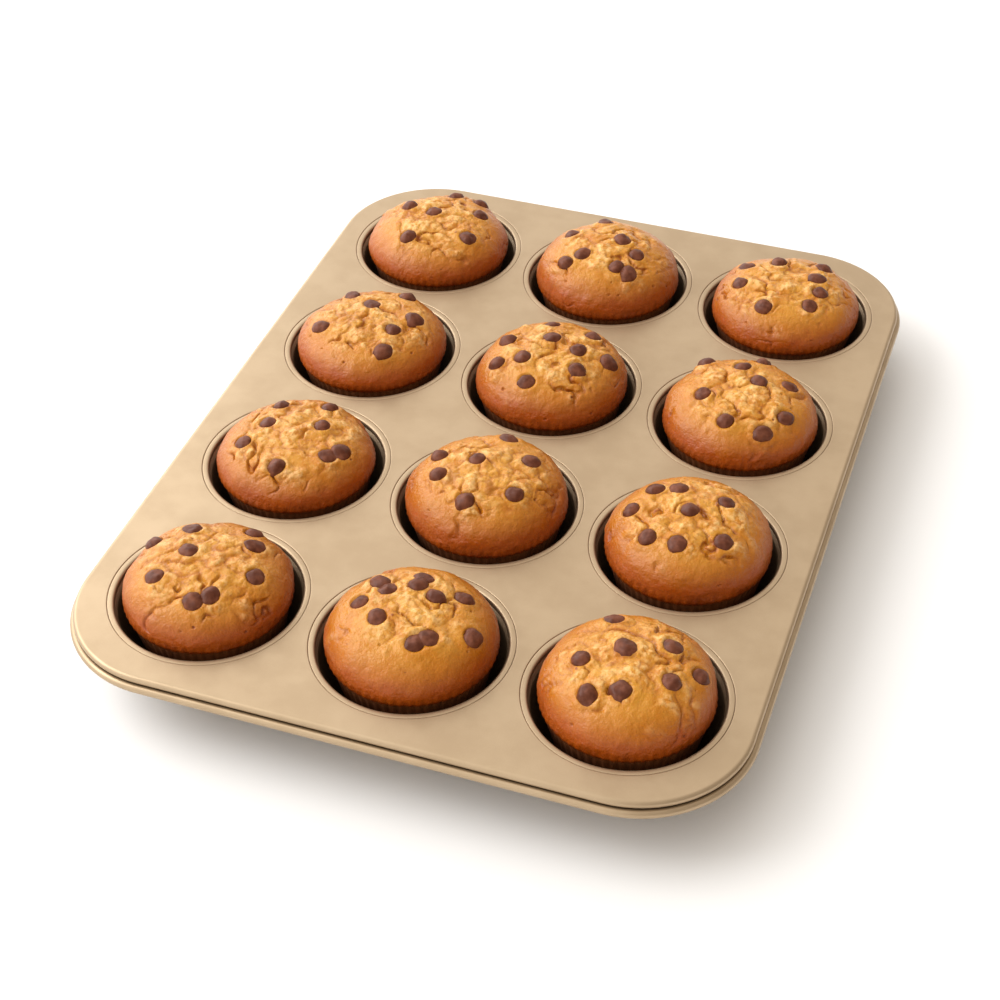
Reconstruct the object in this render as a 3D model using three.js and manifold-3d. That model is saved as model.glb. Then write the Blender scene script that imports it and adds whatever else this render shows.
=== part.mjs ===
import * as THREE from "three";
import { mergeVertices } from "three/addons/utils/BufferGeometryUtils.js";
import Module from "manifold-3d";

// Muffin tin with three cups across and four cups deep, loaded with twelve muffins in paper cases.
// Millimetres, +Z up, origin on the table under the middle of the tin.
// X runs along the rows of three cups, Y along the rows of four, front row at -Y.

const wasm = await Module();
wasm.setup();

// layout
const columns = 3;
const rows = 4;
const pitch = 82;

// top sheet
const sheet = 0.7;
const cupDepth = 30;
const sheetTop = cupDepth + sheet;
const halfWidth = 130.4;
const halfLength = 172.7;
const cornerRadius = 43;
const cornerSteps = 7;
const columnsPerCorner = cornerSteps + 1;
const edgeRound = 1.6;
const edgeTurns = [65, 35, 5, -25, -55];
const sheetInset = 1.6;
const lap = 3;
const lapRelief = 0.05;

// rolled rim: the sheet creases in under its edge, then rolls outward over the wire
const creaseInset = 1.65;
const creaseDrop = 3.5;
const curlRadius = 1.7;
const curlInset = 0.1;
const curlDrop = 5.1;
const curlTurns = [135, 105, 70, 35, 0, -35, -70, -105, -140, -175];
const wireRadius = 0.75;
const wireSides = 8;

// recess that each cup hangs in
const recessRadius = 38.2;
const recessEdge = 0.2;
const ledgeTop = -1.3;
const ledgeHole = 36.6;

// drawn cup
const cupSides = 24;
const flangeRadius = 37.9;
const flangeTop = -0.5;
const neckRadius = 36.3;
const neckBottom = -2.2;
const mouthRadius = 35.5;
const beadRadius = 37;
const beadHeight = -3.1;
const wallTopRadius = 35.4;
const wallTop = -4.5;
const baseRadius = 25;
const baseOutset = 0.4;
const baseRound = 2;
const baseRoundInside = 1.7;

// paper case
const paper = 0.3;
const caseGap = 0.1;
const caseTop = -1.8;
const caseTopRadius = 31.2;
const caseBaseRadius = 24.4;

// muffin
const cakeSides = 24;
const cakeGap = 0.3;
const cakeRadius = 32.3;
const crownStart = 0.5;
const domeHeights = [
  [19, 20, 20],
  [16.5, 20, 20.5],
  [17, 19.5, 18],
  [17.5, 20.5, 17.5],
];

const coatedSteel = { color: 0xd6ba92, roughness: 0.42, metalness: 0.55 };
const coatedCup = { color: 0xcbae84, roughness: 0.42, metalness: 0.55 };
const bareWire = { color: 0xa8a6a2, roughness: 0.4, metalness: 0.9 };
const brownPaper = { color: 0x4b2c1a, roughness: 0.85, metalness: 0 };
const bakedCrumb = { color: 0xc98b45, roughness: 0.8, metalness: 0 };

// Drops normals and texture coordinates and welds shared corners, so the surface closes.
function welded(geometry) {
  geometry.deleteAttribute("normal");
  geometry.deleteAttribute("uv");
  return mergeVertices(geometry, 1e-4);
}

// Turns a section of [radius, height] points about Z. Heights count from the top of the sheet.
function turned(section, sides) {
  const points = section.map(([radius, height]) => new THREE.Vector2(radius, height));
  const geometry = new THREE.LatheGeometry(points, sides);
  geometry.rotateX(Math.PI / 2);
  return geometry;
}

function closedLoop(section) {
  return [...section, section[0]];
}

// Centre of corner arc number quarter, counted anticlockwise from +X +Y.
function cornerCentre(quarter) {
  const signX = quarter === 0 || quarter === 3 ? 1 : -1;
  const signY = quarter < 2 ? 1 : -1;
  return [signX * (halfWidth - cornerRadius), signY * (halfLength - cornerRadius)];
}

// Point on the rounded outline whose corner arcs have the given radius.
function outlinePoint(column, radius) {
  const quarter = Math.floor(column / columnsPerCorner) % 4;
  const step = column % columnsPerCorner;
  const angle = (quarter + step / cornerSteps) * Math.PI / 2;
  const [centreX, centreY] = cornerCentre(quarter);
  return [centreX + radius * Math.cos(angle), centreY + radius * Math.sin(angle)];
}

// A lathed ring pulled out to the rounded outline: each column of the lathe moves to its place
// on a corner arc, and the straight sides lie between the corners.
function rimSweep(section) {
  const loop = closedLoop(section);
  const points = loop.map(([radius, height]) => new THREE.Vector2(radius, height));
  const geometry = new THREE.LatheGeometry(points, 4 * columnsPerCorner);
  const position = geometry.attributes.position;
  for (let index = 0; index < position.count; index += 1) {
    const column = Math.floor(index / loop.length);
    const [radius, height] = loop[index % loop.length];
    const [x, y] = outlinePoint(column, radius);
    position.setXYZ(index, x, y, height);
  }
  return geometry;
}

function solidOf(geometry) {
  const closed = welded(geometry);
  const vertProperties = new Float32Array(closed.attributes.position.array);
  const triVerts = new Uint32Array(closed.index.array);
  return new wasm.Manifold(new wasm.Mesh({ numProp: 3, vertProperties, triVerts }));
}

function geometryOf(solid) {
  const mesh = solid.getMesh();
  const geometry = new THREE.BufferGeometry();
  geometry.setAttribute("position", new THREE.BufferAttribute(mesh.vertProperties, 3));
  geometry.setIndex(new THREE.BufferAttribute(mesh.triVerts, 1));
  geometry.computeVertexNormals();
  return geometry;
}

function cupCentre(row, column) {
  return [(column - (columns - 1) / 2) * pitch, (row - (rows - 1) / 2) * pitch];
}

// Flat top of the sheet with a round hole at each cup.
function flatSheet() {
  const edgeRadius = cornerRadius - sheetInset;
  const outline = [];
  for (let column = 0; column < 4 * columnsPerCorner; column += 1) {
    outline.push(new THREE.Vector2(...outlinePoint(column, edgeRadius)));
  }
  const shape = new THREE.Shape(outline);
  const holeRadius = recessRadius + recessEdge / 2;
  for (let row = 0; row < rows; row += 1) {
    for (let column = 0; column < columns; column += 1) {
      const [centreX, centreY] = cupCentre(row, column);
      const circle = [];
      for (let side = 0; side < cupSides; side += 1) {
        const angle = side / cupSides * 2 * Math.PI;
        const x = centreX + holeRadius * Math.sin(angle);
        const y = centreY + holeRadius * Math.cos(angle);
        circle.push(new THREE.Vector2(x, y));
      }
      shape.holes.push(new THREE.Path(circle));
    }
  }
  const geometry = new THREE.ExtrudeGeometry(shape, { depth: sheet, bevelEnabled: false });
  geometry.translate(0, 0, -sheet);
  return geometry;
}

// Step down from the sheet and the ledge that a cup's flange lies on.
function recessRing() {
  const ledgeBottom = ledgeTop - sheet;
  const outer = recessRadius + sheet;
  return turned(closedLoop([
    [ledgeHole, ledgeBottom],
    [outer, ledgeBottom],
    [outer, -recessEdge],
    [recessRadius, -recessEdge],
    [recessRadius, ledgeTop],
    [ledgeHole, ledgeTop],
  ]), cupSides);
}

// Point on the curl, at an angle in degrees above the outward side of the wire.
function curlPoint(degrees, radius) {
  const angle = THREE.MathUtils.degToRad(degrees);
  const across = cornerRadius - curlInset + radius * Math.cos(angle);
  const up = -curlDrop + radius * Math.sin(angle);
  return [across, up];
}

// Both faces of sheet steel whose middle follows a line of [radius, height] points.
function bothFaces(line) {
  const outer = [];
  const inner = [];
  line.forEach(([radius, height], index) => {
    const [beforeRadius, beforeHeight] = line[Math.max(index - 1, 0)];
    const [afterRadius, afterHeight] = line[Math.min(index + 1, line.length - 1)];
    const along = new THREE.Vector2(afterRadius - beforeRadius, afterHeight - beforeHeight);
    along.normalize().multiplyScalar(sheet / 2);
    outer.push([radius - along.y, height + along.x]);
    inner.push([radius + along.y, height - along.x]);
  });
  return [...inner, ...outer.reverse()];
}

// Rounded edge turned in to a crease, and the curl that closes round the wire but for a slit.
function rimSection() {
  const middle = sheet / 2;
  const edgeCentre = cornerRadius - edgeRound;
  const edge = edgeTurns.map((degrees) => {
    const angle = THREE.MathUtils.degToRad(degrees);
    const radius = edgeRound - middle;
    return [edgeCentre + radius * Math.cos(angle), -edgeRound + radius * Math.sin(angle)];
  });
  const curl = curlTurns.map((degrees) => curlPoint(degrees, curlRadius - middle));
  return bothFaces([
    [cornerRadius - lap, -middle - lapRelief],
    [edgeCentre, -middle - lapRelief],
    ...edge,
    [cornerRadius - creaseInset, -creaseDrop],
    ...curl,
  ]);
}

function topSheetGeometry() {
  let solid = solidOf(flatSheet()).add(solidOf(rimSweep(rimSection())));
  for (let row = 0; row < rows; row += 1) {
    for (let column = 0; column < columns; column += 1) {
      const [centreX, centreY] = cupCentre(row, column);
      const ring = recessRing();
      ring.translate(centreX, centreY, 0);
      solid = solid.add(solidOf(ring));
    }
  }
  return geometryOf(solid);
}

// Wire that stiffens the rim, inside the curl.
function wireGeometry() {
  const section = [];
  for (let side = 0; side < wireSides; side += 1) {
    section.push(curlPoint(side / wireSides * 360, wireRadius));
  }
  return rimSweep(section);
}

// Drawn cup: flat base, sloping wall, a bead swaged out under the ledge, and a flange on it.
function cupGeometry() {
  const flangeBottom = flangeTop - sheet;
  return turned([
    [0, -sheetTop],
    [baseRadius + baseOutset, -sheetTop],
    [baseRadius + baseOutset + baseRound, baseRound - sheetTop],
    [wallTopRadius, wallTop],
    [beadRadius, beadHeight],
    [neckRadius, neckBottom],
    [neckRadius, flangeBottom],
    [flangeRadius, flangeBottom],
    [flangeRadius, flangeTop],
    [neckRadius, flangeTop],
    [mouthRadius, flangeBottom],
    [mouthRadius, neckBottom],
    [beadRadius - sheet, beadHeight],
    [wallTopRadius - sheet, wallTop],
    [baseRadius + baseRoundInside, baseRoundInside - cupDepth],
    [baseRadius, -cupDepth],
    [0, -cupDepth],
  ], cupSides);
}

// Paper case: a thin cone open at the top, standing just clear of the cup's floor.
function caseGeometry() {
  const bottom = caseGap - cupDepth;
  return turned([
    [0, bottom],
    [caseBaseRadius, bottom],
    [caseTopRadius, caseTop],
    [caseTopRadius - paper, caseTop],
    [caseBaseRadius - paper, bottom + paper],
    [0, bottom + paper],
  ], cakeSides);
}

// Baked muffin: fills the case, and its crown domes over the case's edge.
function cakeGeometry(domeHeight) {
  const bottom = caseGap + paper + cakeGap - cupDepth;
  const clear = paper + cakeGap;
  return turned([
    [0, bottom],
    [caseBaseRadius - clear, bottom],
    [caseTopRadius - clear, caseTop],
    [cakeRadius, crownStart],
    [0.935 * cakeRadius, 0.42 * domeHeight],
    [0.75 * cakeRadius, 0.74 * domeHeight],
    [0.43 * cakeRadius, 0.94 * domeHeight],
    [0, domeHeight],
  ], cakeSides);
}

function piece(name, geometry, finish) {
  const mesh = new THREE.Mesh(geometry, new THREE.MeshStandardMaterial(finish));
  mesh.name = name;
  return mesh;
}

// Everything is drawn from the top of the sheet down, then lifted to stand on the table.
const tin = new THREE.Group();
tin.position.z = sheetTop;
tin.add(piece("top_sheet", topSheetGeometry(), coatedSteel));
tin.add(piece("rim_wire", wireGeometry(), bareWire));

for (let row = 0; row < rows; row += 1) {
  for (let column = 0; column < columns; column += 1) {
    const place = `r${row + 1}c${column + 1}`;
    const [centreX, centreY] = cupCentre(row, column);
    const pocket = new THREE.Group();
    pocket.position.set(centreX, centreY, 0);
    pocket.add(piece(`cup_${place}`, cupGeometry(), coatedCup));
    pocket.add(piece(`case_${place}`, caseGeometry(), brownPaper));
    pocket.add(piece(`cake_${place}`, cakeGeometry(domeHeights[row][column]), bakedCrumb));
    tin.add(pocket);
  }
}

export default tin;
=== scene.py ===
import math

import bmesh
import bpy
from mathutils import Matrix, Vector
from mathutils.geometry import delaunay_2d_cdt


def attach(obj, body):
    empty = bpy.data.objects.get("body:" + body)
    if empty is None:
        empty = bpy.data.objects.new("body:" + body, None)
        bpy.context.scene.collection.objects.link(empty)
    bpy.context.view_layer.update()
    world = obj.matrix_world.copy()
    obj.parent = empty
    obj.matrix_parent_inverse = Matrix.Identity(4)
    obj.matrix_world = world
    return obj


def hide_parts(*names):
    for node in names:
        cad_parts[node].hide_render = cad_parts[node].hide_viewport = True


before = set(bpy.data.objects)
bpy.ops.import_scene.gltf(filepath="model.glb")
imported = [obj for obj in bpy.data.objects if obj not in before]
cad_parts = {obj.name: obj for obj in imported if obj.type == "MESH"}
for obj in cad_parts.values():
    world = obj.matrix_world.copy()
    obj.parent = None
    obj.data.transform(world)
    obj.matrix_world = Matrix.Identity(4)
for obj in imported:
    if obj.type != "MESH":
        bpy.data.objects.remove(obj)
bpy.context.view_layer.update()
mm = 0.001

# the tin's layout, in mm; heights count down from the top of the sheet
tin = {
    "columns": 3,
    "rows": 4,
    "pitch": 82.0,
    "sheetTop": 30.7,
    "sheet": 0.7,
    "halfWidth": 130.4,
    "halfLength": 172.7,
    "cornerRadius": 43.0,
}
places = [(row, column) for row in range(tin["rows"]) for column in range(tin["columns"])]


def placeName(row, column):
    return f"r{row + 1}c{column + 1}"


def cupCentre(row, column):
    x = (column - (tin["columns"] - 1) / 2) * tin["pitch"]
    y = (row - (tin["rows"] - 1) / 2) * tin["pitch"]
    return x, y


# nodes, for materials and for Geometry Nodes

def addNode(tree, kind, inputs=None, **settings):
    node = tree.nodes.new(kind)
    for name, value in settings.items():
        setattr(node, name, value)
    for key, value in (inputs or {}).items():
        if isinstance(value, bpy.types.NodeSocket):
            tree.links.new(value, node.inputs[key])
        else:
            node.inputs[key].default_value = value
    return node


def calc(tree, operation, first, second=0.0):
    return addNode(tree, "ShaderNodeMath", {0: first, 1: second}, operation=operation).outputs[0]


def add(tree, first, second):
    return calc(tree, "ADD", first, second)


def subtract(tree, first, second):
    return calc(tree, "SUBTRACT", first, second)


def multiply(tree, first, second):
    return calc(tree, "MULTIPLY", first, second)


def divide(tree, first, second):
    return calc(tree, "DIVIDE", first, second)


def larger(tree, first, second):
    return calc(tree, "MAXIMUM", first, second)


def smaller(tree, first, second):
    return calc(tree, "MINIMUM", first, second)


def vectorCalc(tree, operation, first, second=(0, 0, 0)):
    node = addNode(tree, "ShaderNodeVectorMath", {0: first, 1: second}, operation=operation)
    return node.outputs["Value"] if operation == "LENGTH" else node.outputs[0]


def scaled(tree, vector, scale):
    inputs = {0: vector, "Scale": scale}
    return addNode(tree, "ShaderNodeVectorMath", inputs, operation="SCALE").outputs[0]


def partsOf(tree, vector):
    return addNode(tree, "ShaderNodeSeparateXYZ", {0: vector}).outputs


def pointAt(tree, x, y, z):
    return addNode(tree, "ShaderNodeCombineXYZ", {0: x, 1: y, 2: z}).outputs[0]


def levelled(tree, vector):
    parts = partsOf(tree, vector)
    return pointAt(tree, parts[0], parts[1], 0.0)


def spread(tree, value, low, high, start=0.0, end=1.0, kind="LINEAR"):
    inputs = {"Value": value, "From Min": low, "From Max": high, "To Min": start, "To Max": end}
    return addNode(tree, "ShaderNodeMapRange", inputs, interpolation_type=kind).outputs["Result"]


def ease(tree, value, low, high, start=0.0, end=1.0):
    return spread(tree, value, low, high, start, end, "SMOOTHSTEP")


def noiseAt(tree, vector, scale, detail=2.0, roughness=0.5):
    inputs = {"Vector": vector, "Scale": scale, "Detail": detail, "Roughness": roughness}
    return addNode(tree, "ShaderNodeTexNoise", inputs).outputs["Fac"]


# Noise about zero, from -0.5 to 0.5.
def swayAt(tree, vector, scale, detail=2.0, roughness=0.5):
    return subtract(tree, noiseAt(tree, vector, scale, detail, roughness), 0.5)


def herePoint(tree):
    return addNode(tree, "GeometryNodeInputPosition").outputs[0]


def moveTo(tree, geometry, point):
    inputs = {"Geometry": geometry, "Position": point}
    return addNode(tree, "GeometryNodeSetPosition", inputs).outputs[0]


def moveBy(tree, geometry, offset):
    inputs = {"Geometry": geometry, "Offset": offset}
    return addNode(tree, "GeometryNodeSetPosition", inputs).outputs[0]


def newTree(name, sockets):
    tree = bpy.data.node_groups.new(name, "GeometryNodeTree")
    tree.interface.new_socket("Geometry", in_out="OUTPUT", socket_type="NodeSocketGeometry")
    tree.interface.new_socket("Geometry", in_out="INPUT", socket_type="NodeSocketGeometry")
    for socketName, kind in sockets.items():
        tree.interface.new_socket(socketName, in_out="INPUT", socket_type=f"NodeSocket{kind}")
    return tree, tree.nodes.new("NodeGroupInput").outputs


def endTree(tree, geometry, material):
    realized = addNode(tree, "GeometryNodeRealizeInstances", {"Geometry": geometry})
    inputs = {"Geometry": realized.outputs[0], "Material": material}
    painted = addNode(tree, "GeometryNodeSetMaterial", inputs)
    out = tree.nodes.new("NodeGroupOutput")
    tree.links.new(painted.outputs[0], out.inputs[0])


def runTree(piece, tree, values):
    modifier = piece.modifiers.new(tree.name, "NODES")
    modifier.node_group = tree
    for item in tree.interface.items_tree:
        if item.item_type == "SOCKET" and item.in_out == "INPUT" and item.name in values:
            modifier[item.identifier] = values[item.name]


# pieces and meshes

def newPiece(name, mesh, material=None):
    piece = bpy.data.objects.new(name, mesh)
    bpy.context.scene.collection.objects.link(piece)
    if material is not None:
        mesh.materials.append(material)
    return piece


# Turns what the modifiers make into the piece's own plain mesh.
def makePlain(piece, sharpAngle=None):
    graph = bpy.context.evaluated_depsgraph_get()
    mesh = bpy.data.meshes.new_from_object(
        piece.evaluated_get(graph), preserve_all_data_layers=True, depsgraph=graph
    )
    piece.modifiers.clear()
    piece.data = mesh
    mesh.shade_smooth()
    if sharpAngle is not None:
        mesh.set_sharp_from_angle(angle=math.radians(sharpAngle))


def thicken(piece, thickness, offset):
    modifier = piece.modifiers.new("thickness", "SOLIDIFY")
    modifier.thickness = thickness * mm
    modifier.offset = offset
    return modifier


def weld(mesh, distance=1e-6, recalculate=False):
    work = bmesh.new()
    work.from_mesh(mesh)
    bmesh.ops.remove_doubles(work, verts=work.verts, dist=distance)
    if recalculate:
        bmesh.ops.recalc_face_normals(work, faces=work.faces)
    work.to_mesh(mesh)
    work.free()


# A point on a circle about (x, y).
def swung(x, y, radius, angle):
    return x + radius * math.cos(angle), y + radius * math.sin(angle)


# Points of an arc, with its angles in degrees.
def arc(centre, radius, start, end, steps):
    turns = [start + (end - start) * step / steps for step in range(steps + 1)]
    return [swung(*centre, radius, math.radians(turn)) for turn in turns]


def between(before, after, share):
    return tuple(low + (high - low) * share for low, high in zip(before, after))


# Rounds a line of (across, up, radius) corners.
def rounded(corners, steps):
    longestBend = 0.48  # share of a side that a bend may take
    points = [corners[0][:2]]
    for before, corner, after in zip(corners, corners[1:], corners[2:]):
        here = Vector(corner[:2])
        toBefore = Vector(before[:2]) - here
        toAfter = Vector(after[:2]) - here
        half = toBefore.angle(toAfter) / 2
        reach = corner[2] / math.tan(half)
        reach = min(reach, longestBend * toBefore.length, longestBend * toAfter.length)
        start = here + toBefore.normalized() * reach
        end = here + toAfter.normalized() * reach
        for step in range(steps + 1):
            t = step / steps
            point = start * (1 - t) ** 2 + here * 2 * t * (1 - t) + end * t ** 2
            points.append((point.x, point.y))
    points.append(corners[-1][:2])
    return points


def splitLong(points, longest):
    result = [points[0]]
    for before, after in zip(points, points[1:]):
        pieces = max(1, math.ceil(math.dist(before, after) / longest))
        result += [between(before, after, step / pieces) for step in range(1, pieces + 1)]
    return result


# materials

def newMaterial(name, colour, roughness, metallic=0.0):
    material = bpy.data.materials.new(name)
    material.use_nodes = True
    tree = material.node_tree
    shader = tree.nodes["Principled BSDF"]
    shader.inputs["Base Color"].default_value = (*colour, 1)
    shader.inputs["Roughness"].default_value = roughness
    shader.inputs["Metallic"].default_value = metallic
    return material, tree, shader


def objectPoint(tree):
    return addNode(tree, "ShaderNodeTexCoord").outputs["Object"]


def attributeOf(tree, name):
    return addNode(tree, "ShaderNodeAttribute", attribute_name=name).outputs["Fac"]


def blendColours(tree, amount, first, second):
    node = addNode(tree, "ShaderNodeMix", data_type="RGBA")
    for socket, value in ((node.inputs[0], amount), (node.inputs[6], first), (node.inputs[7], second)):
        if isinstance(value, bpy.types.NodeSocket):
            tree.links.new(value, socket)
        elif isinstance(value, tuple):
            socket.default_value = (*value, 1)
        else:
            socket.default_value = value
    return node.outputs[2]


def addBump(tree, shader, height, strength, distance):
    bump = addNode(tree, "ShaderNodeBump", {"Strength": strength, "Distance": distance, "Height": height})
    tree.links.new(bump.outputs[0], shader.inputs["Normal"])


# noise scales are per metre, as Object coordinates are in metres
coating = {
    "light": (0.46, 0.342, 0.216),
    "dark": (0.418, 0.306, 0.189),
    "metallic": 0.7,
    "roughness": 0.38,
    "glossSpread": 0.03,
    # painted shade colour: the inside of the cups darkened below the lip
    "darkened": (0.11, 0.07, 0.035),
    # painted shade colour for the rim's crease
    "rimCreaseShadeColour": (0.05, 0.03, 0.014),
    # where the painted shade inside the cups starts below the lip, where it is full, and how strong
    "lip": 0.0016,
    "lipFade": 0.0065,
    "cupShading": 0.85,
    "fine": 1500.0,
    "fineShare": 0.12,
    "patch": 120.0,
    "patchShare": 0.35,
    "cloud": 40.0,
    "blotchEdge": (0.36, 0.64),
    "glossEdge": (0.35, 0.65),
    "bump": 0.05,
    "bumpDepth": 0.0001,
}


# Satin coating: soft cloudy patches of colour and gloss, a very faint grain, painted shade in the rim's
# crease, and the cups darkened below the lip as painted shade.
def coatedSteel(name, cupShading=0.0):
    material, tree, shader = newMaterial(
        name, coating["light"], coating["roughness"], coating["metallic"]
    )
    point = objectPoint(tree)
    fine = noiseAt(tree, point, coating["fine"], 2, 0.5)
    patch = noiseAt(tree, point, coating["patch"], 3, 0.5)
    cloud = noiseAt(tree, point, coating["cloud"], 3, 0.5)
    patchShare = coating["patchShare"]
    fineShare = coating["fineShare"]
    soft = add(tree, multiply(tree, patch, patchShare), multiply(tree, cloud, 1 - patchShare))
    blotch = add(tree, multiply(tree, fine, fineShare), multiply(tree, soft, 1 - fineShare))
    blotched = ease(tree, blotch, *coating["blotchEdge"])
    colour = blendColours(tree, blotched, coating["dark"], coating["light"])
    # painted shade: the rim's crease darkened in the colour
    colour = blendColours(tree, attributeOf(tree, "rimCreaseShade"), colour, coating["rimCreaseShadeColour"])
    # painted shade: the cups darkened below the lip, inside where shade falls
    if cupShading:
        height = partsOf(tree, point)[2]
        lip = tin["sheetTop"] * mm
        depth = ease(tree, height, lip - coating["lip"], lip - coating["lipFade"], 0.0, cupShading)
        colour = blendColours(tree, depth, colour, coating["darkened"])
    tree.links.new(colour, shader.inputs["Base Color"])
    dull = coating["roughness"] + coating["glossSpread"]
    glossy = coating["roughness"] - coating["glossSpread"]
    roughness = ease(tree, soft, *coating["glossEdge"], dull, glossy)
    tree.links.new(roughness, shader.inputs["Roughness"])
    addBump(tree, shader, fine, coating["bump"], coating["bumpDepth"])
    return material


wire = {
    "colour": (0.42, 0.4, 0.38),
    "metallic": 0.9,
    "glossy": 0.28,
    "dull": 0.5,
    "stretch": (1, 1, 9),
    "streak": 400.0,
    "streakEdge": (0.3, 0.7),
    "bump": 0.15,
    "bumpDepth": 0.0001,
}


def drawnWire():
    material, tree, shader = newMaterial("drawnWire", wire["colour"], wire["dull"], wire["metallic"])
    stretched = addNode(tree, "ShaderNodeMapping", {"Vector": objectPoint(tree), "Scale": wire["stretch"]})
    streak = noiseAt(tree, stretched.outputs[0], wire["streak"], 3, 0.6)
    roughness = ease(tree, streak, *wire["streakEdge"], wire["glossy"], wire["dull"])
    tree.links.new(roughness, shader.inputs["Roughness"])
    addBump(tree, shader, streak, wire["bump"], wire["bumpDepth"])
    return material


crumb = {
    "golden": (0.52, 0.184, 0.005),
    "pale": (0.62, 0.280, 0.024),
    # pale open crumb, also laid on the crumb crests as a painted highlight
    "open": (0.82, 0.51, 0.19),
    "brown": (0.34, 0.062, 0.001),
    # painted shade colour for cracks, pits, crumb valleys and pleat furrows
    "crease": (0.24, 0.042, 0.001),
    "deep": (0.15, 0.020, 0.001),
    "crust": 0.32,
    "crumbly": 0.42,
    "patches": 130.0,
    "grain": 420.0,
    "specks": 1200.0,
    "skinEdge": (0.35, 0.65),
    "openEdge": (0.38, 0.62),
    "speckEdge": (0.66, 0.74),
    "opening": 0.8,
    "unevenness": 0.6,
    "brownFull": 0.8,
    "deepFull": 1.15,
    "creviceShading": 0.9,
    "speckling": 0.3,
    "specular": 0.38,
    "scatter": 0.1,
    "scatterRadius": (0.004, 0.0015, 0.0005),
    "scatterScale": 0.5,
    "speckRelief": 0.6,
    "bump": 0.6,
    "bumpDepth": 0.0007,
}


# Baked crust: golden and open where the top has cracked, pale on its crumb crests as a painted highlight,
# with painted shade in cracks, pits, valleys and pleat furrows; browner and smooth down the sides.
def bakedCrumb():
    material, tree, shader = newMaterial("bakedCrumb", crumb["golden"], crumb["crust"])
    point = objectPoint(tree)
    browning = attributeOf(tree, "browning")
    cracked = attributeOf(tree, "cracked")
    hollow = attributeOf(tree, "hollow")
    patches = noiseAt(tree, point, crumb["patches"], 4, 0.6)
    grain = noiseAt(tree, point, crumb["grain"], 3, 0.6)
    specks = noiseAt(tree, point, crumb["specks"], 2, 0.5)
    skin = blendColours(tree, ease(tree, patches, *crumb["skinEdge"]), crumb["golden"], crumb["pale"])
    openCrumb = blendColours(tree, ease(tree, grain, *crumb["openEdge"]), skin, crumb["open"])
    # pale open crumb where the top has cracked, strongest on the crumb crests as a painted highlight
    top = blendColours(tree, multiply(tree, cracked, crumb["opening"]), skin, openCrumb)
    uneven = multiply(tree, subtract(tree, patches, 0.5), crumb["unevenness"])
    darkened = add(tree, browning, uneven)
    sides = blendColours(tree, ease(tree, darkened, 0.0, crumb["brownFull"]), top, crumb["brown"])
    lowest = ease(tree, darkened, crumb["brownFull"], crumb["deepFull"])
    low = blendColours(tree, lowest, sides, crumb["deep"])
    # painted shade: the crust darkened in its cracks, pits, crumb valleys and pleat furrows
    creviceShaded = blendColours(tree, multiply(tree, hollow, crumb["creviceShading"]), low, crumb["crease"])
    speckled = ease(tree, specks, *crumb["speckEdge"], 0.0, crumb["speckling"])
    tree.links.new(blendColours(tree, speckled, creviceShaded, crumb["brown"]), shader.inputs["Base Color"])
    rough = ease(tree, cracked, 0.0, 1.0, crumb["crust"], crumb["crumbly"])
    tree.links.new(rough, shader.inputs["Roughness"])
    shader.inputs["Specular IOR Level"].default_value = crumb["specular"]
    shader.inputs["Subsurface Weight"].default_value = crumb["scatter"]
    shader.inputs["Subsurface Radius"].default_value = crumb["scatterRadius"]
    shader.inputs["Subsurface Scale"].default_value = crumb["scatterScale"]
    relief = add(tree, grain, multiply(tree, specks, crumb["speckRelief"]))
    addBump(tree, shader, relief, crumb["bump"], crumb["bumpDepth"])
    return material


chocolateLook = {
    "dark": (0.095, 0.024, 0.010),
    "milky": (0.18, 0.055, 0.026),
    "glossy": 0.36,
    "dull": 0.52,
    "bloom": 260.0,
    "bloomEdge": (0.35, 0.7),
    "fine": 1100.0,
    "specular": 0.22,
    "bump": 0.3,
    "bumpDepth": 0.0003,
}


def chocolate():
    material, tree, shader = newMaterial("chocolate", chocolateLook["dark"], chocolateLook["dull"])
    point = objectPoint(tree)
    bloom = noiseAt(tree, point, chocolateLook["bloom"], 3, 0.6)
    fine = noiseAt(tree, point, chocolateLook["fine"], 2, 0.5)
    bloomed = ease(tree, bloom, *chocolateLook["bloomEdge"])
    colour = blendColours(tree, bloomed, chocolateLook["dark"], chocolateLook["milky"])
    tree.links.new(colour, shader.inputs["Base Color"])
    gloss = (chocolateLook["glossy"], chocolateLook["dull"])
    roughness = ease(tree, bloom, *chocolateLook["bloomEdge"], *gloss)
    tree.links.new(roughness, shader.inputs["Roughness"])
    shader.inputs["Specular IOR Level"].default_value = chocolateLook["specular"]
    addBump(tree, shader, fine, chocolateLook["bump"], chocolateLook["bumpDepth"])
    return material


paper = {
    "stained": (0.12, 0.030, 0.006),
    "clean": (0.19, 0.052, 0.010),
    "fibre": (0.27, 0.09, 0.02),
    "fibreShare": 0.35,
    "glossy": 0.6,
    "dull": 0.8,
    "fibres": 900.0,
    "stains": 90.0,
    "fibreEdge": (0.3, 0.7),
    "stainEdge": (0.35, 0.65),
    "bump": 0.25,
    "bumpDepth": 0.0002,
}


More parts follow.
